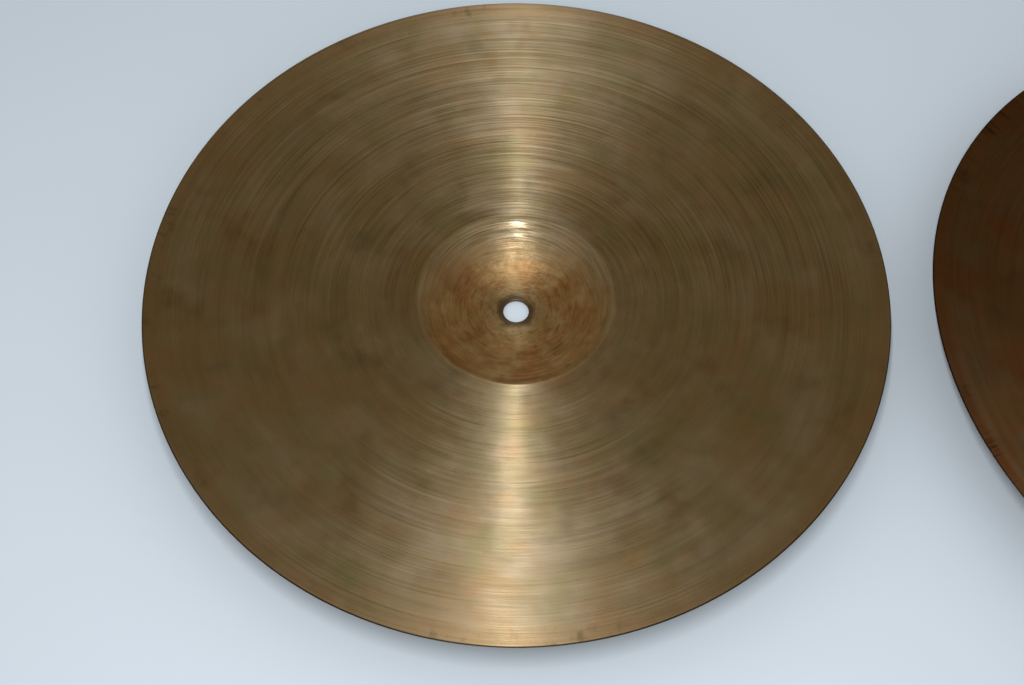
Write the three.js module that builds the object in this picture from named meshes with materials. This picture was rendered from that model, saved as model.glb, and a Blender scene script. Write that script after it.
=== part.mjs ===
// A pair of hand cymbals: two hammered and turned bronze plates, lying side by side on their bells with their
// hollow faces up. Their straps are off, so each plate is one piece of metal with a bare strap hole.
// Units are millimetres, +Z is up, and the origin is on the table midway between the two plates.
import * as THREE from "three";

// ---- driving dimensions ----
const PLATE_DIAMETER = 355.6; // 14 inches
const HOLE_DIAMETER = 12.7; // half an inch, the usual strap hole
const LAND_DIAMETER = 20; // flat ring round the hole, where a strap's pad and knot seat
const CROWN_DIAMETER = 58; // the bell's round crown, inside its straighter wall
const BELL_DIAMETER = 97; // where the crease ends and the bow begins
const CROWN_EDGE_SLOPE = 24; // degrees, where the crown meets the wall
const WALL_EDGE_SLOPE = 30; // degrees, the steepest part of the bell
const CREASE_RADIUS = 5; // bend from the bell's wall to the bow
const BOW_START_SLOPE = 2; // degrees, just outside the crease
const RIM_SLOPE = 12; // degrees, where the bow ends
const BELL_THICKNESS = 1.5;
const RIM_THICKNESS = 1.0;
const RIM_GAP = 21; // clear table between the two rims

// ---- mesh fineness ----
const TURN_STEPS = 72; // round the plate
const CROWN_STEPS = 4;
const WALL_STEPS = 2;
const CREASE_STEPS = 3;
const BOW_STEPS = 7;
const RIM_STEPS = 4; // half round of the rim's edge

const radians = THREE.MathUtils.degToRad;

// Points along an arc whose slope goes from one angle to the other, leaving out the start itself.
function arc(start, radius, fromSlope, toSlope, steps) {
  const sense = Math.sign(toSlope - fromSlope);
  const points = [];
  for (let i = 1; i <= steps; i++) {
    const slope = fromSlope + ((toSlope - fromSlope) * i) / steps;
    points.push({
      r: start.r + sense * radius * (Math.sin(slope) - Math.sin(fromSlope)),
      z: start.z + sense * radius * (Math.cos(fromSlope) - Math.cos(slope)),
      slope,
    });
  }
  return points;
}

// The convex face from the hole to the rim: flat land, crown, wall, crease and bow, each tangent to the next.
function convexFace() {
  const crownSlope = radians(CROWN_EDGE_SLOPE);
  const wallSlope = radians(WALL_EDGE_SLOPE);
  const bowSlope = radians(BOW_START_SLOPE);
  const rimSlope = radians(RIM_SLOPE);
  const hole = { r: HOLE_DIAMETER / 2, z: 0, slope: 0 };
  const land = { r: LAND_DIAMETER / 2, z: 0, slope: 0 };

  const crownWidth = CROWN_DIAMETER / 2 - land.r;
  const crown = arc(land, crownWidth / Math.sin(crownSlope), 0, crownSlope, CROWN_STEPS);

  const creaseWidth = CREASE_RADIUS * (Math.sin(wallSlope) - Math.sin(bowSlope));
  const wallWidth = (BELL_DIAMETER - CROWN_DIAMETER) / 2 - creaseWidth;
  const wallRadius = wallWidth / (Math.sin(wallSlope) - Math.sin(crownSlope));
  const wall = arc(crown.at(-1), wallRadius, crownSlope, wallSlope, WALL_STEPS);
  const crease = arc(wall.at(-1), CREASE_RADIUS, wallSlope, bowSlope, CREASE_STEPS);

  const rimRoundWidth = (RIM_THICKNESS / 2) * (1 - Math.sin(rimSlope));
  const bowWidth = PLATE_DIAMETER / 2 - rimRoundWidth - BELL_DIAMETER / 2;
  const bowRadius = bowWidth / (Math.sin(rimSlope) - Math.sin(bowSlope));
  const bow = arc(crease.at(-1), bowRadius, bowSlope, rimSlope, BOW_STEPS);
  return [hole, land, ...crown, ...wall, ...crease, ...bow];
}

// The plate thins smoothly from the land to the rim.
function thicknessAt(r) {
  const share = THREE.MathUtils.smoothstep(r, LAND_DIAMETER / 2, PLATE_DIAMETER / 2);
  return BELL_THICKNESS + (RIM_THICKNESS - BELL_THICKNESS) * share;
}

// A half round from the convex face to the hollow face, centred in the rim's thickness.
function rimRound(edge) {
  const half = thicknessAt(edge.r) / 2;
  const middle = { r: edge.r - half * Math.sin(edge.slope), z: edge.z + half * Math.cos(edge.slope) };
  const points = [];
  for (let i = 1; i < RIM_STEPS; i++) {
    const turn = edge.slope - Math.PI / 2 + (Math.PI * i) / RIM_STEPS;
    points.push(new THREE.Vector2(middle.r + half * Math.cos(turn), middle.z + half * Math.sin(turn)));
  }
  return points;
}

function plateGeometry() {
  const face = convexFace();
  const convex = face.map(({ r, z }) => new THREE.Vector2(r, z));
  const hollow = face.map(({ r, z, slope }) => {
    const thickness = thicknessAt(r);
    return new THREE.Vector2(r - thickness * Math.sin(slope), z + thickness * Math.cos(slope));
  });
  const outline = [...convex, ...rimRound(face.at(-1)), ...hollow.reverse(), convex[0].clone()];
  return new THREE.LatheGeometry(outline, TURN_STEPS).rotateX(Math.PI / 2);
}

function plate(name, colour, roughness, side) {
  const bronze = new THREE.MeshStandardMaterial({ color: colour, roughness, metalness: 1 });
  const mesh = new THREE.Mesh(plateGeometry(), bronze);
  mesh.name = name;
  mesh.position.x = (side * (PLATE_DIAMETER + RIM_GAP)) / 2;
  return mesh;
}

const pair = new THREE.Group();
pair.add(plate("left_plate", 0x8a7448, 0.4, -1));
pair.add(plate("right_plate", 0x4a3018, 0.5, 1));

export default pair;
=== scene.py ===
# A pair of old hand cymbals lying hollow side up: a lathe-turned bronze plate and a dark, smooth one.
# Lengths are in metres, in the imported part's frame, apart from the camera's lens and sensor. Colours are sRGB
# values from 0 to 255, apart from the room's.
import math
from typing import NamedTuple

import bpy
import numpy as np
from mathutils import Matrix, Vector

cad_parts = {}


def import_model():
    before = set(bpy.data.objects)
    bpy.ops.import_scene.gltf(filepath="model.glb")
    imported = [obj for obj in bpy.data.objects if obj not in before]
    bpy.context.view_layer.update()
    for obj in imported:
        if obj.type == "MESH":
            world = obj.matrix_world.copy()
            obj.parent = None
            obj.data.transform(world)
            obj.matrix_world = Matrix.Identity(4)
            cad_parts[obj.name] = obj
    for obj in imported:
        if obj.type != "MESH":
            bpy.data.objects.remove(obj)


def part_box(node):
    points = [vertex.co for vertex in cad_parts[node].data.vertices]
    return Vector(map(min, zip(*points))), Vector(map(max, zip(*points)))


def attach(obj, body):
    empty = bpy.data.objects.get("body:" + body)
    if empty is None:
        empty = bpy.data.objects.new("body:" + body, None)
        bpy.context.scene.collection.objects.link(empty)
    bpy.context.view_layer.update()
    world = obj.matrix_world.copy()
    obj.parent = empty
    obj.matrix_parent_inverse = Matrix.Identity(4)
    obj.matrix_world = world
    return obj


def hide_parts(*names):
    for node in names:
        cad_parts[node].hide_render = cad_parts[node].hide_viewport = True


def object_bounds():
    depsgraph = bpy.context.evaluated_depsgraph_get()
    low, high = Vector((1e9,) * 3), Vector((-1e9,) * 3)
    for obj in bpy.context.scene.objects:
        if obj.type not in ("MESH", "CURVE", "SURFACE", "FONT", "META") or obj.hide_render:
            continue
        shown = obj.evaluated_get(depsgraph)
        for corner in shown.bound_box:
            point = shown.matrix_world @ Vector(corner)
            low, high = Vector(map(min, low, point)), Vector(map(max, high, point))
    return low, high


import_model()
cad_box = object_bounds()

# ---- the plate's section, the same as the CAD part's ----
HOLE_RADIUS = 0.00635
LAND_RADIUS = 0.010
CROWN_RADIUS = 0.029
BELL_RADIUS = 0.0485
CROWN_EDGE_SLOPE = math.radians(24)
WALL_EDGE_SLOPE = math.radians(30)
CREASE_RADIUS = 0.005
BOW_START_SLOPE = math.radians(2)
RIM_SLOPE = math.radians(12)
BELL_THICKNESS = 0.0015
RIM_THICKNESS = 0.0010
RIM_RADIUS = (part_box("left_plate")[1].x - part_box("left_plate")[0].x) / 2

# ---- fineness of the meshes: steps round the plate, and along each stretch of its section ----
TURN_STEPS = 256
LAND_STEPS = 4
CROWN_STEPS = 20
WALL_STEPS = 16
CREASE_STEPS = 10
HOLLOW_BOW_STEPS = 165
OUTER_BOW_STEPS = 112
RIM_STEPS = 6
HOLE_ROUND = 0.0003
HOLE_ROUND_STEPS = 3

# ---- marks of the making ----
# the lathe leaves shallow rings, a set distance apart on each face
OUTER_RING_PITCH = 0.0044
HOLLOW_RING_PITCH = 0.0038
RING_DEPTH = 0.000004
RING_FADE_AT_BELL = 0.006
RING_FADE_AT_RIM = 0.008
# hammer marks and soft dents, each as how many, the narrowest, the widest, and how deep at most
HAMMER_MARKS = (420, 0.004, 0.007, 0.00009)
SOFT_DENTS = (60, 0.012, 0.020, 0.00028)
# they fade over this width to a fifth at the rim, and everything fades out towards the land
RIM_FADE = 0.02
LAND_FADE = 0.03
# the sheet also waves slowly up and down, this many times round
WAVES = (2, 3, 5)
WAVE_HEIGHT = 0.0003
# the lathe never reached a patch of the bell, which is round but sits off its middle
RAW_RADIUS = 0.047
RAW_CENTRE = (0.001, -0.014)
RAW_ANISOTROPY = 0.45

# ---- view, with the lens and the sensor in millimetres ----
LENS = 45.7
SENSOR = 36.0
CAMERA_DISTANCE = 0.623
CAMERA_ELEVATION = math.radians(58.25)
CAMERA_TURN = math.radians(3.04)
AIM_NEARER = 0.034

# ---- light, and the floor it falls on ----
KEY_WIDTH = 0.012
KEY_HEIGHT = 0.26
KEY_RISE = 0.06
KEY_ASIDE = 0.010
KEY_POWER = 3.9
DOME_STRENGTH = 1.3
ROOM_STRENGTH = 0.28
LINEAR_ROOM_COLOUR = (1.0, 0.77, 0.37, 1.0)
FLOOR_COLOUR = (149, 157, 164)
FLOOR_HALF = 60.0
FLOOR_GAP = 0.0002


def plate_centre(node):
    low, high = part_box(node)
    return Vector(((low.x + high.x) / 2, (low.y + high.y) / 2, low.z))


# ---------------------------------------------------------------- shape

def arc(r, z, radius, slopes):
    """Points r, z and slope along an arc that starts at r, z with the first slope."""
    sense = np.sign(slopes[-1] - slopes[0])
    rs = r + sense * radius * (np.sin(slopes) - np.sin(slopes[0]))
    zs = z + sense * radius * (np.cos(slopes[0]) - np.cos(slopes))
    return np.column_stack([rs, zs, slopes])


def convex_face(bow_steps):
    """The convex face from the hole to the rim as rows of r, z and slope."""
    flat = np.linspace(HOLE_RADIUS + HOLE_ROUND, LAND_RADIUS, LAND_STEPS + 1)
    land = np.column_stack([flat, 0 * flat, 0 * flat])
    crown_curve = (CROWN_RADIUS - LAND_RADIUS) / math.sin(CROWN_EDGE_SLOPE)
    crown = arc(LAND_RADIUS, 0, crown_curve, np.linspace(0, CROWN_EDGE_SLOPE, CROWN_STEPS + 1))
    crease_width = CREASE_RADIUS * (math.sin(WALL_EDGE_SLOPE) - math.sin(BOW_START_SLOPE))
    wall_width = BELL_RADIUS - crease_width - CROWN_RADIUS
    wall_curve = wall_width / (math.sin(WALL_EDGE_SLOPE) - math.sin(CROWN_EDGE_SLOPE))
    wall_slopes = np.linspace(CROWN_EDGE_SLOPE, WALL_EDGE_SLOPE, WALL_STEPS + 1)
    wall = arc(crown[-1, 0], crown[-1, 1], wall_curve, wall_slopes)
    crease_slopes = np.linspace(WALL_EDGE_SLOPE, BOW_START_SLOPE, CREASE_STEPS + 1)
    crease = arc(wall[-1, 0], wall[-1, 1], CREASE_RADIUS, crease_slopes)
    bow_width = RIM_RADIUS - RIM_THICKNESS / 2 * (1 - math.sin(RIM_SLOPE)) - BELL_RADIUS
    bow_curve = bow_width / (math.sin(RIM_SLOPE) - math.sin(BOW_START_SLOPE))
    bow_slopes = np.linspace(BOW_START_SLOPE, RIM_SLOPE, bow_steps + 1)
    bow = arc(crease[-1, 0], crease[-1, 1], bow_curve, bow_slopes)
    return np.vstack([land, crown[1:], wall[1:], crease[1:], bow[1:]])


def hole_edge(z, way):
    """The rounded edge of the hole, from its wall to a face at height z that looks up (1) or down (-1)."""
    turns = np.linspace(0, math.pi / 2, HOLE_ROUND_STEPS + 1)[:-1]
    rs = HOLE_RADIUS + HOLE_ROUND * (1 - np.cos(turns))
    zs = z - way * HOLE_ROUND * (1 - np.sin(turns))
    return rs, zs


def thickness_at(r):
    """The sheet thins smoothly from the land to the rim."""
    share = np.clip((r - LAND_RADIUS) / (RIM_RADIUS - LAND_RADIUS), 0, 1)
    return BELL_THICKNESS + (RIM_THICKNESS - BELL_THICKNESS) * share ** 2 * (3 - 2 * share)


def grooves(r, pitch, rng):
    """Shallow rings left by the turning tool, each of its own depth, over the bow only."""
    knots = np.arange(BELL_RADIUS, RIM_RADIUS, pitch / 2)
    heights = RING_DEPTH * rng.uniform(0.35, 1.0, knots.size) * np.where(np.arange(knots.size) % 2, 1, -1)
    fade = np.clip((r - BELL_RADIUS) / RING_FADE_AT_BELL, 0, 1)
    fade *= np.clip((RIM_RADIUS - r) / RING_FADE_AT_RIM, 0, 1)
    # ends just short of the last knot, so that each place has a knot on both sides
    place = np.clip((r - knots[0]) / (pitch / 2), 0, knots.size - 1.001)
    left = place.astype(int)
    ease = (1 - np.cos(math.pi * (place - left))) / 2
    return fade * (heights[left] * (1 - ease) + heights[left + 1] * ease)


def dents(x, y, rng, count, narrowest, widest, depth):
    """Round dents and bulges strewn over the bow, as heights at the points x, y."""
    height = np.zeros_like(x)
    for _ in range(count):
        dent_r = math.sqrt(rng.uniform(BELL_RADIUS ** 2, RIM_RADIUS ** 2))
        dent_turn = rng.uniform(0, 2 * math.pi)
        spread = rng.uniform(narrowest, widest)
        away = (x - dent_r * math.cos(dent_turn)) ** 2 + (y - dent_r * math.sin(dent_turn)) ** 2
        height += depth * rng.uniform(-1, 1) * np.exp(-away / (2 * spread ** 2))
    return height


def hammering(x, y, seed, strength):
    """How far the hammered sheet stands off its true section: hammer marks, soft dents and a slow wave."""
    rng = np.random.default_rng(seed)
    r = np.hypot(x, y)
    turn = np.arctan2(y, x)
    height = dents(x, y, rng, *HAMMER_MARKS)
    height += dents(x, y, rng, *SOFT_DENTS)
    height *= np.clip((RIM_RADIUS - r) / RIM_FADE, 0.2, 1)
    for waves in WAVES:
        start = rng.uniform(0, 2 * math.pi)
        height += WAVE_HEIGHT / waves * np.cos(waves * turn + start) * (r / RIM_RADIUS) ** 2
    return strength * height * np.clip((r - LAND_RADIUS) / LAND_FADE, 0, 1) ** 2


def plate_section(rng):
    """The closed outline as r, z and whether it is on the hollow side, from the hole's outer edge round."""
    outer = convex_face(OUTER_BOW_STEPS)
    outer_z = outer[:, 1] + grooves(outer[:, 0], OUTER_RING_PITCH, rng)
    inner = convex_face(HOLLOW_BOW_STEPS)[::-1]
    thick = thickness_at(inner[:, 0])
    inner_r = inner[:, 0] - thick * np.sin(inner[:, 2])
    inner_z = inner[:, 1] + thick * np.cos(inner[:, 2]) + grooves(inner[:, 0], HOLLOW_RING_PITCH, rng)
    half = RIM_THICKNESS / 2
    turns = RIM_SLOPE - math.pi / 2 + math.pi * np.arange(1, RIM_STEPS) / RIM_STEPS
    rim_r = outer[-1, 0] - half * math.sin(RIM_SLOPE) + half * np.cos(turns)
    rim_z = outer[-1, 1] + half * math.cos(RIM_SLOPE) + half * np.sin(turns)
    low_r, low_z = hole_edge(0, -1)
    high_r, high_z = hole_edge(BELL_THICKNESS, 1)
    r = np.concatenate([low_r, outer[:, 0], rim_r, inner_r, high_r[::-1]])
    z = np.concatenate([low_z, outer_z, rim_z, inner_z, high_z[::-1]])
    is_inner = np.arange(r.size) >= low_r.size + outer.shape[0] + rim_r.size // 2
    return r, z, is_inner


def plate(name, node, body, faces, seed, strength):
    """A fine mesh of one plate. faces holds the hollow face's material and the outer face's."""
    r, z, is_inner = plate_section(np.random.default_rng(seed))
    rings = r.size
    turns = 2 * math.pi * np.arange(TURN_STEPS) / TURN_STEPS
    x = r[:, None] * np.cos(turns)
    y = r[:, None] * np.sin(turns)
    height = z[:, None] + hammering(x, y, seed, strength)
    verts = np.stack([x, y, height], axis=-1).reshape(-1, 3)

    ring = np.arange(rings)[:, None]
    step = np.arange(TURN_STEPS)[None, :]
    here, beyond = ring * TURN_STEPS, (ring + 1) % rings * TURN_STEPS
    after = (step + 1) % TURN_STEPS
    quads = np.stack([here + step, here + after, beyond + after, beyond + step], axis=-1)
    mesh = bpy.data.meshes.new(name)
    mesh.from_pydata(verts.tolist(), [], quads.reshape(-1, 4).tolist())
    face_indices = np.repeat(np.where(is_inner, 0, 1), TURN_STEPS).astype(np.int32)
    mesh.polygons.foreach_set("material_index", face_indices)
    mesh.polygons.foreach_set("use_smooth", np.ones(len(mesh.polygons), bool))
    for material in faces:
        mesh.materials.append(material)
    mesh.update()

    piece = bpy.data.objects.new(name, mesh)
    bpy.context.scene.collection.objects.link(piece)
    piece.location = plate_centre(node)
    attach(piece, body)
    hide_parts(node)


# ---------------------------------------------------------------- materials

def srgb(red, green, blue):
    """An sRGB colour in 0 to 255 as the linear colour that shaders take."""
    def linear(v):
        v /= 255
        return v / 12.92 if v <= 0.04045 else ((v + 0.055) / 1.055) ** 2.4
    return (linear(red), linear(green), linear(blue), 1.0)


class Graph:
    """Short ways to add nodes to a material, each returning the output socket."""

    def __init__(self, name):
        self.material = bpy.data.materials.new(name)
        self.material.use_nodes = True
        self.tree = self.material.node_tree
        self.shaders = [self.tree.nodes["Principled BSDF"]]

    def plug(self, value, socket):
        if isinstance(value, bpy.types.NodeSocket):
            self.tree.links.new(value, socket)
        else:
            socket.default_value = value

    def surface(self, **values):
        """Sets or links the named inputs of every shader, with spaces for the underscores."""
        for shader in self.shaders:
            for name, value in values.items():
                self.plug(value, shader.inputs[name.replace("_", " ")])

    def add_shader(self, share):
        """A second shader, which takes the first one's place by a share."""
        first = self.shaders[0]
        second = self.tree.nodes.new("ShaderNodeBsdfPrincipled")
        both = self.tree.nodes.new("ShaderNodeMixShader")
        self.plug(share, both.inputs[0])
        self.tree.links.new(first.outputs[0], both.inputs[1])
        self.tree.links.new(second.outputs[0], both.inputs[2])
        self.tree.links.new(both.outputs[0], self.tree.nodes["Material Output"].inputs["Surface"])
        self.shaders.append(second)

    def maths(self, operation, a, b=0.0, c=0.0):
        node = self.tree.nodes.new("ShaderNodeMath")
        node.operation = operation
        for value, socket in zip((a, b, c), node.inputs):
            self.plug(value, socket)
        return node.outputs[0]

    def vector(self, operation, a, b=(0.0, 0.0, 0.0), scale=1.0):
        node = self.tree.nodes.new("ShaderNodeVectorMath")
        node.operation = operation
        self.plug(a, node.inputs[0])
        if operation == "SCALE":
            self.plug(scale, node.inputs["Scale"])
        else:
            self.plug(b, node.inputs[1])
        return node.outputs["Value" if operation in ("LENGTH", "DOT_PRODUCT") else "Vector"]

    def combine(self, x=0.0, y=0.0, z=0.0):
        node = self.tree.nodes.new("ShaderNodeCombineXYZ")
        for value, socket in zip((x, y, z), node.inputs):
            self.plug(value, socket)
        return node.outputs[0]

    def noise(self, vector, scale=1.0, detail=3.0, roughness=0.55):
        node = self.tree.nodes.new("ShaderNodeTexNoise")
        self.plug(vector, node.inputs["Vector"])
        node.inputs["Scale"].default_value = scale
        node.inputs["Detail"].default_value = detail
        node.inputs["Roughness"].default_value = roughness
        return node.outputs["Fac"]

    def step(self, value, low, high, to_low=0.0, to_high=1.0):
        """Eases from to_low to to_high as value goes from low to high."""
        node = self.tree.nodes.new("ShaderNodeMapRange")
        node.interpolation_type = "SMOOTHSTEP"
        for v, socket in zip((value, low, high, to_low, to_high), node.inputs):
            self.plug(v, socket)
        return node.outputs[0]

    def blend(self, share, a, b):
        """The number a where share is 0, and b where it is 1."""
        node = self.tree.nodes.new("ShaderNodeMix")
        self.plug(share, node.inputs["Factor"])
        self.plug(a, node.inputs["A"])
        self.plug(b, node.inputs["B"])
        return node.outputs["Result"]

    def mix(self, share, a, b):
        """The colour a where share is 0, and b where it is 1."""
        node = self.tree.nodes.new("ShaderNodeMix")
        node.data_type = "RGBA"
        self.plug(share, node.inputs["Factor"])
        self.plug(a, node.inputs["A"])
        self.plug(b, node.inputs["B"])
        return node.outputs["Result"]

    def polar(self, seed):
        """Where a point is: from the plate's axis, round it, towards +Y, and in plan, moved by the seed."""
        place = self.tree.nodes.new("ShaderNodeTexCoord").outputs["Object"]
        self.level = self.vector("MULTIPLY", place, (1.0, 1.0, 0.0))
        self.r = self.vector("LENGTH", self.level)
        self.round = self.vector("NORMALIZE", self.level)
        self.north = self.vector("DOT_PRODUCT", self.round, (0.0, 1.0, 0.0))
        self.flat = self.vector("ADD", self.level, (seed * 0.37, seed * 0.61, seed * 0.13))
        self.seed = float(seed)

    def clouds(self, scale, low, high, share=1.0):
        """Soft patches, `scale` to a metre: 0 where the noise is at low, and share where it is at high."""
        return self.step(self.noise(self.flat, scale, 2.0), low, high, 0.0, share)

    def streaks(self, across, around, detail=3.0, roughness=0.55, shift=0.0):
        """Noise drawn out round the plate, in patches `across` metres wide and 1 / `around` radians long."""
        ring = self.maths("MULTIPLY_ADD", self.r, 1 / across, self.seed + shift)
        swept = self.vector("SCALE", self.round, scale=around)
        return self.noise(self.vector("ADD", swept, self.combine(z=ring)), 1.0, detail, roughness)

    def paint(self, tone, share, colour):
        """The tone with a share of an sRGB colour over it."""
        return self.mix(share, tone, srgb(*colour))

    def bump(self, height):
        """Shades the surface as if it stood out by a height in metres."""
        node = self.tree.nodes.new("ShaderNodeBump")
        node.inputs["Distance"].default_value = 1.0
        self.plug(height, node.inputs["Height"])
        return node.outputs[0]

    def radial_tangent(self):
        node = self.tree.nodes.new("ShaderNodeTangent")
        node.direction_type = "RADIAL"
        node.axis = "Z"
        return node.outputs[0]


class Finish(NamedTuple):
    """One plate's colours as sRGB, how worn its rim is and how strong the floor reflection painted near it is,
    and its gloss and lines, with how strong the highlights and shade painted on its hairlines are.
    """
    light: tuple
    olive: tuple
    brown: tuple
    green: tuple
    rust: tuple
    smudge_and_shade: tuple
    # edge is a pale bronze, painted as highlights on the hairlines and along the crease
    edge: tuple
    edge_shade: tuple
    copper: tuple
    red: tuple
    gold: tuple
    steel_and_reflection: tuple
    dark_mark: tuple
    rim_wear_and_reflection: float
    metallic: float
    gloss_rough: float
    dull_rough: float
    anisotropy: float
    line_depth: float
    hairline_light_and_shade: float


TURNED_FINISH = Finish(
    light=(158, 144, 121),
    olive=(145, 131, 102),
    brown=(148, 124, 92),
    green=(138, 130, 97),
    rust=(152, 120, 82),
    smudge_and_shade=(84, 70, 50),
    edge=(176, 158, 124),
    edge_shade=(34, 29, 22),
    copper=(152, 123, 84),
    red=(148, 110, 72),
    gold=(166, 147, 108),
    steel_and_reflection=(150, 138, 112),
    dark_mark=(92, 80, 64),
    rim_wear_and_reflection=0.0,
    metallic=0.98,
    gloss_rough=0.31,
    dull_rough=0.84,
    anisotropy=1.0,
    line_depth=0.00002,
    hairline_light_and_shade=1.0,
)
DARK_FINISH = Finish(
    light=(100, 74, 48),
    olive=(90, 68, 42),
    brown=(98, 62, 36),
    green=(92, 77, 57),
    rust=(106, 68, 40),
    smudge_and_shade=(54, 38, 24),
    edge=(130, 106, 80),
    edge_shade=(40, 28, 18),
    copper=(110, 80, 52),
    red=(100, 66, 44),
    gold=(126, 96, 64),
    steel_and_reflection=(112, 98, 78),
    dark_mark=(44, 38, 32),
    rim_wear_and_reflection=0.9,
    metallic=0.97,
    gloss_rough=0.44,
    dull_rough=0.66,
    anisotropy=0.6,
    line_depth=0.000008,
    hairline_light_and_shade=0.35,
)


def bow_tone(g, look):
    """Turned metal tarnished in soft clouds, some wiped round the plate, with faint darker rings."""
    tone = g.mix(g.step(g.streaks(0.022, 3.0), 0.34, 0.66), srgb(*look.olive), srgb(*look.light))
    tone = g.paint(tone, g.clouds(34.0, 0.42, 0.72, 0.8), look.brown)
    tone = g.paint(tone, g.clouds(40.0, 0.56, 0.30, 0.7), look.green)
    tone = g.paint(tone, g.clouds(66.0, 0.52, 0.78, 0.38), look.rust)
    tone = g.paint(tone, g.clouds(48.0, 0.48, 0.24, 0.28), look.smudge_and_shade)
    return g.paint(tone, g.step(g.streaks(0.005, 2.0, shift=41.0), 0.34, 0.54, 0.13, 0.0), look.smudge_and_shade)


def hairline_light_and_shade(g, tone, look, line_strength):
    """Fine lines of the lathe, painted brighter and darker as highlights and shade on them, stronger where the
    lines are stronger.
    """
    line = g.streaks(0.0008, 1.5, 2.0, 0.7, shift=103.0)
    bright = g.step(line, 0.50, 0.72, 0.0, 0.55 * look.hairline_light_and_shade)
    dark = g.step(line, 0.50, 0.28, 0.0, 0.40 * look.hairline_light_and_shade)
    tone = g.paint(tone, g.maths("MULTIPLY", line_strength, bright), look.edge)
    return g.paint(tone, g.maths("MULTIPLY", line_strength, dark), look.smudge_and_shade)


def rim_tone(g, tone, look):
    """Browner towards the rim, with hand marks in clusters, a pale band painted on the -Y side as a reflection
    of the floor, and painted shade on the very edge.
    """
    tone = g.paint(tone, g.step(g.r, RIM_RADIUS - 0.012, RIM_RADIUS - 0.003, 0.0, 0.5), look.brown)
    clusters = g.step(g.streaks(0.050, 4.0, 2.0, shift=61.0), 0.46, 0.62)
    spots = g.step(g.streaks(0.007, 36.0, 2.0, shift=57.0), 0.52, 0.76, 0.0, 0.5)
    strokes = g.step(g.streaks(0.030, 150.0, 2.0, shift=67.0), 0.46, 0.70, 0.0, look.rim_wear_and_reflection)
    near_rim = g.maths("MULTIPLY", clusters, g.step(g.r, RIM_RADIUS - 0.010, RIM_RADIUS - 0.004))
    tone = g.paint(tone, g.maths("MULTIPLY", near_rim, g.maths("ADD", spots, strokes)), look.smudge_and_shade)
    # on the worn plate, a pale band near the rim is painted on the -Y side as a reflection of the floor
    from_band = g.maths("ABSOLUTE", g.maths("SUBTRACT", g.r, RIM_RADIUS - 0.007))
    band = g.maths("MULTIPLY", g.step(from_band, 0.0012, 0.0030, 0.35, 0.0), look.rim_wear_and_reflection)
    tone = g.paint(tone, g.maths("MULTIPLY", band, g.step(g.north, -0.6, 0.2, 1.0, 0.0)), look.steel_and_reflection)
    # painted shade on the very edge of the rim, all round
    return g.paint(tone, g.step(g.r, RIM_RADIUS - 0.0007, RIM_RADIUS - 0.0003, 0.0, 0.95), look.edge_shade)


def bell_tone(g, look, scuffs):
    """The bell's raw metal: clouded copper, scuffed in circles, with painted shade next to the crease, and worn
    and darker round the hole.
    """
    tone = g.mix(g.clouds(46.0, 0.36, 0.66), srgb(*look.copper), srgb(*look.red))
    tone = g.paint(tone, g.clouds(85.0, 0.46, 0.72, 0.6), look.gold)
    tone = g.paint(tone, g.step(scuffs, 0.42, 0.66, 0.0, 0.5), look.gold)
    tone = g.paint(tone, g.step(scuffs, 0.48, 0.28, 0.0, 0.4), look.smudge_and_shade)
    tone = g.paint(tone, g.step(g.streaks(0.004, 5.0, shift=17.0), 0.46, 0.26, 0.0, 0.18), look.smudge_and_shade)
    dashes = g.step(g.streaks(0.0016, 7.0, shift=19.0), 0.64, 0.72)
    tone = g.paint(tone, g.maths("MULTIPLY", dashes, g.step(g.r, 0.032, 0.038, 0.6, 0.0)), look.dark_mark)
    # painted shade on the bell's wall where it turns into the crease
    tone = g.paint(tone, g.step(g.r, BELL_RADIUS - 0.006, BELL_RADIUS - 0.001, 0.0, 0.35), look.smudge_and_shade)
    wear = g.maths("MULTIPLY", g.step(g.r, 0.010, 0.019, 0.7, 0.0), g.step(scuffs, 0.36, 0.60))
    tone = g.paint(tone, wear, look.steel_and_reflection)
    # darker in an uneven ring round the hole
    hole_ring_reach = g.maths("MULTIPLY_ADD", g.noise(g.flat, 160.0, 2.0), -0.005, g.r)
    return g.paint(tone, g.step(hole_ring_reach, HOLE_RADIUS - 0.0014, HOLE_RADIUS + 0.0022, 0.95, 0.0), look.dark_mark)


def crease_highlight(g):
    """A painted highlight along stretches of the crease."""
    from_crease = g.maths("ABSOLUTE", g.maths("SUBTRACT", g.r, BELL_RADIUS + 0.0004))
    stretches = g.step(g.streaks(0.05, 1.5, shift=97.0), 0.42, 0.62, 0.0, 0.3)
    return g.maths("MULTIPLY", g.step(from_crease, 0.0002, 0.0009, 1.0, 0.0), stretches)


def rawness(g, in_bell):
    """1 on raw metal and 0 on turned metal, with a soft and uneven edge between them inside the bell."""
    from_middle = g.vector("LENGTH", g.vector("SUBTRACT", g.level, (*RAW_CENTRE, 0.0)))
    wobble = g.maths("SUBTRACT", g.streaks(0.008, 2.0, shift=31.0), 0.5)
    uneven = g.maths("MULTIPLY_ADD", wobble, 0.018, from_middle)
    patch = g.step(uneven, RAW_RADIUS - 0.009, RAW_RADIUS + 0.008, 1.0, 0.0)
    return g.maths("MULTIPLY", patch, in_bell)


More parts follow.
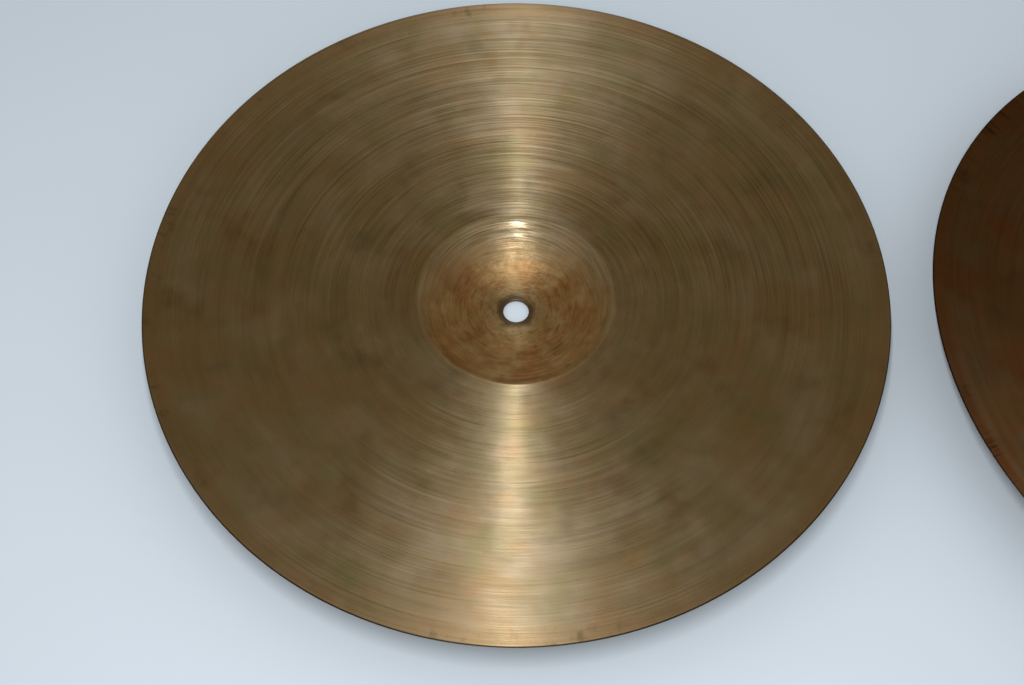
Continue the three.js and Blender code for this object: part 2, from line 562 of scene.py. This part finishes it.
def turned_roughness(g, look, in_bell):
    """Turned metal is mostly dull, with fine glossier lines that are more common near the bell."""
    glossy_below = g.maths("MULTIPLY_ADD", in_bell, -0.03, g.step(g.r, 0.095, 0.140, 0.480, 0.444))
    line = g.streaks(0.00005, 1.0, 1.0, shift=47.0)
    uneven_gloss = g.maths("MULTIPLY_ADD", g.streaks(0.0010, 1.2, 2.0, 0.7, shift=91.0), 1.5, -0.75)
    uneven_gloss = g.maths("MULTIPLY", uneven_gloss, g.step(g.north, -0.2, 0.5, 0.3, 1.0))
    gloss_rough = g.maths("MAXIMUM", g.maths("ADD", uneven_gloss, look.gloss_rough), 0.15)
    rough = g.step(g.maths("SUBTRACT", line, glossy_below), -0.02, 0.02, gloss_rough, look.dull_rough)
    return g.maths("ADD", rough, g.maths("MULTIPLY_ADD", g.noise(g.flat, 55.0), 0.30, -0.15))


def lathe_lines(g, look, line_strength):
    """The height of the lathe's fine lines and wider ridges, in metres."""
    fine = g.maths("MULTIPLY", g.streaks(0.0006, 1.5, 2.0, 0.6, shift=71.0), 1.1 * look.line_depth)
    ridge_depth = g.step(g.r, 0.085, 0.120, 1.7 * look.line_depth, 0.8 * look.line_depth)
    ridges = g.maths("MULTIPLY_ADD", g.streaks(0.0024, 1.8, 1.0, shift=83.0), ridge_depth, fine)
    return g.maths("MULTIPLY", line_strength, ridges)


def scratches(g, scuffs):
    """The height of the scuffs and pits in raw metal, in metres."""
    pits = g.maths("MULTIPLY", g.noise(g.flat, 300.0, 3.0), 0.00012)
    return g.maths("MULTIPLY_ADD", scuffs, 0.00012, pits)


def bronze_face(name, seed, look):
    """One face of a plate: rings of the lathe on the bow, raw metal in the bell."""
    g = Graph(name)
    g.polar(seed)
    in_bell = g.step(g.r, BELL_RADIUS - 0.0008, BELL_RADIUS + 0.0006, 1.0, 0.0)
    raw = rawness(g, in_bell)
    scuffs = g.streaks(0.0013, 3.0, 4.0, 0.65, shift=13.0)
    # the lines are deeper on the +Y half, and the highlights and shade painted on them are stronger there
    line_strength = g.step(g.north, -0.5, 0.5, 0.12, 1.0)

    turned_tone = g.paint(bow_tone(g, look), g.maths("MULTIPLY", in_bell, 0.25), look.steel_and_reflection)
    turned_tone = rim_tone(g, hairline_light_and_shade(g, turned_tone, look, line_strength), look)
    tone = g.mix(raw, turned_tone, bell_tone(g, look, scuffs))
    raw_rough = g.step(g.noise(g.flat, 150.0, 3.0), 0.34, 0.66, 0.44, 0.58)

    # light spreads far less round the plate than across the lines, except on the bell's metal
    g.add_shader(g.maths("MAXIMUM", raw, g.maths("MULTIPLY", in_bell, 0.8)))
    g.surface(
        # a painted highlight along stretches of the crease
        Base_Color=g.paint(tone, crease_highlight(g), look.edge),
        Metallic=look.metallic,
        Roughness=g.blend(raw, turned_roughness(g, look, in_bell), raw_rough),
        Normal=g.bump(g.blend(raw, lathe_lines(g, look, line_strength), scratches(g, scuffs))),
        Anisotropic_Rotation=0.25,
        Tangent=g.radial_tangent(),
    )
    for shader, anisotropy in zip(g.shaders, (look.anisotropy, RAW_ANISOTROPY)):
        shader.inputs["Anisotropic"].default_value = anisotropy
    return g.material


def both_faces(name, seed, look):
    """The materials of a plate's hollow face and of its outer face, which has marks of its own."""
    hollow = bronze_face(name + "_hollow_face", seed, look)
    return hollow, bronze_face(name + "_outer_face", seed + 1, look)


def turned_plate():
    plate(
        "turned_cymbal",
        node="left_plate",
        body="left_plate",
        faces=both_faces("bronze", 1, TURNED_FINISH),
        seed=246,
        strength=1.0,
    )


def dark_plate():
    plate(
        "dark_cymbal",
        node="right_plate",
        body="right_plate",
        faces=both_faces("dark", 5, DARK_FINISH),
        seed=12,
        strength=1.2,
    )


# ---------------------------------------------------------------- stage

def floor():
    mesh = bpy.data.meshes.new("floor")
    corners = [(x * FLOOR_HALF, y * FLOOR_HALF, 0) for x, y in ((-1, -1), (1, -1), (1, 1), (-1, 1))]
    mesh.from_pydata(corners, [], [(0, 1, 2, 3)])
    g = Graph("floor_paper")
    g.surface(Base_Color=srgb(*FLOOR_COLOUR), Roughness=0.9, Specular_IOR_Level=0.0)
    mesh.materials.append(g.material)
    piece = bpy.data.objects.new("floor", mesh)
    piece.location.z = cad_box[0].z - FLOOR_GAP
    bpy.context.scene.collection.objects.link(piece)


def world():
    """A white dome that lights the floor, a pale backdrop, and a dimmer warm room that the metal reflects."""
    surroundings = bpy.data.worlds.new("surroundings")
    surroundings.use_nodes = True
    tree = surroundings.node_tree
    rays = tree.nodes.new("ShaderNodeLightPath")
    dome = tree.nodes["Background"]
    dome.inputs["Color"].default_value = (1.0, 1.0, 1.0, 1.0)
    dome.inputs["Strength"].default_value = DOME_STRENGTH
    room = tree.nodes.new("ShaderNodeBackground")
    room.inputs["Color"].default_value = LINEAR_ROOM_COLOUR
    room.inputs["Strength"].default_value = ROOM_STRENGTH
    backdrop = tree.nodes.new("ShaderNodeBackground")
    backdrop.inputs["Color"].default_value = [DOME_STRENGTH * share for share in srgb(*FLOOR_COLOUR)]
    lit = dome.outputs[0]
    for kind, source in (("Is Glossy Ray", room), ("Is Camera Ray", backdrop)):
        choice = tree.nodes.new("ShaderNodeMixShader")
        tree.links.new(rays.outputs[kind], choice.inputs[0])
        tree.links.new(lit, choice.inputs[1])
        tree.links.new(source.outputs[0], choice.inputs[2])
        lit = choice.outputs[0]
    tree.links.new(lit, tree.nodes["World Output"].inputs["Surface"])
    bpy.context.scene.world = surroundings


def strip_light(name, place, target, width, height, power):
    """An upright soft box, narrow across the view."""
    lamp = bpy.data.lights.new(name, "AREA")
    lamp.shape = "RECTANGLE"
    lamp.size = width
    lamp.size_y = height
    lamp.energy = power
    piece = bpy.data.objects.new(name, lamp)
    piece.location = place
    piece.rotation_euler = (target - place).to_track_quat("-Z", "Y").to_euler()
    bpy.context.scene.collection.objects.link(piece)


def camera_and_key():
    """The camera looks down on the left plate, with the key light upright behind the lens."""
    rim_centre = plate_centre("left_plate")
    rim_centre.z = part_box("left_plate")[1].z
    back = Vector((
        math.sin(CAMERA_TURN) * math.cos(CAMERA_ELEVATION),
        -math.cos(CAMERA_TURN) * math.cos(CAMERA_ELEVATION),
        math.sin(CAMERA_ELEVATION),
    ))
    lens = bpy.data.cameras.new("camera")
    lens.lens = LENS
    lens.sensor_width = SENSOR
    camera = bpy.data.objects.new("camera", lens)
    camera.location = rim_centre + CAMERA_DISTANCE * back
    aim = rim_centre - Vector((0, AIM_NEARER, 0))
    camera.rotation_euler = (aim - camera.location).to_track_quat("-Z", "Y").to_euler()
    bpy.context.scene.collection.objects.link(camera)
    bpy.context.scene.camera = camera
    above = Vector((0, back.z, -back.y))
    near_rim = rim_centre - Vector((0, RIM_RADIUS, 0))
    key_place = camera.location + KEY_RISE * above - Vector((KEY_ASIDE, 0, 0))
    strip_light("key", key_place, near_rim, KEY_WIDTH, KEY_HEIGHT, KEY_POWER)


bpy.context.scene.view_settings.view_transform = "Standard"
camera_and_key()
world()
floor()
turned_plate()
dark_plate()
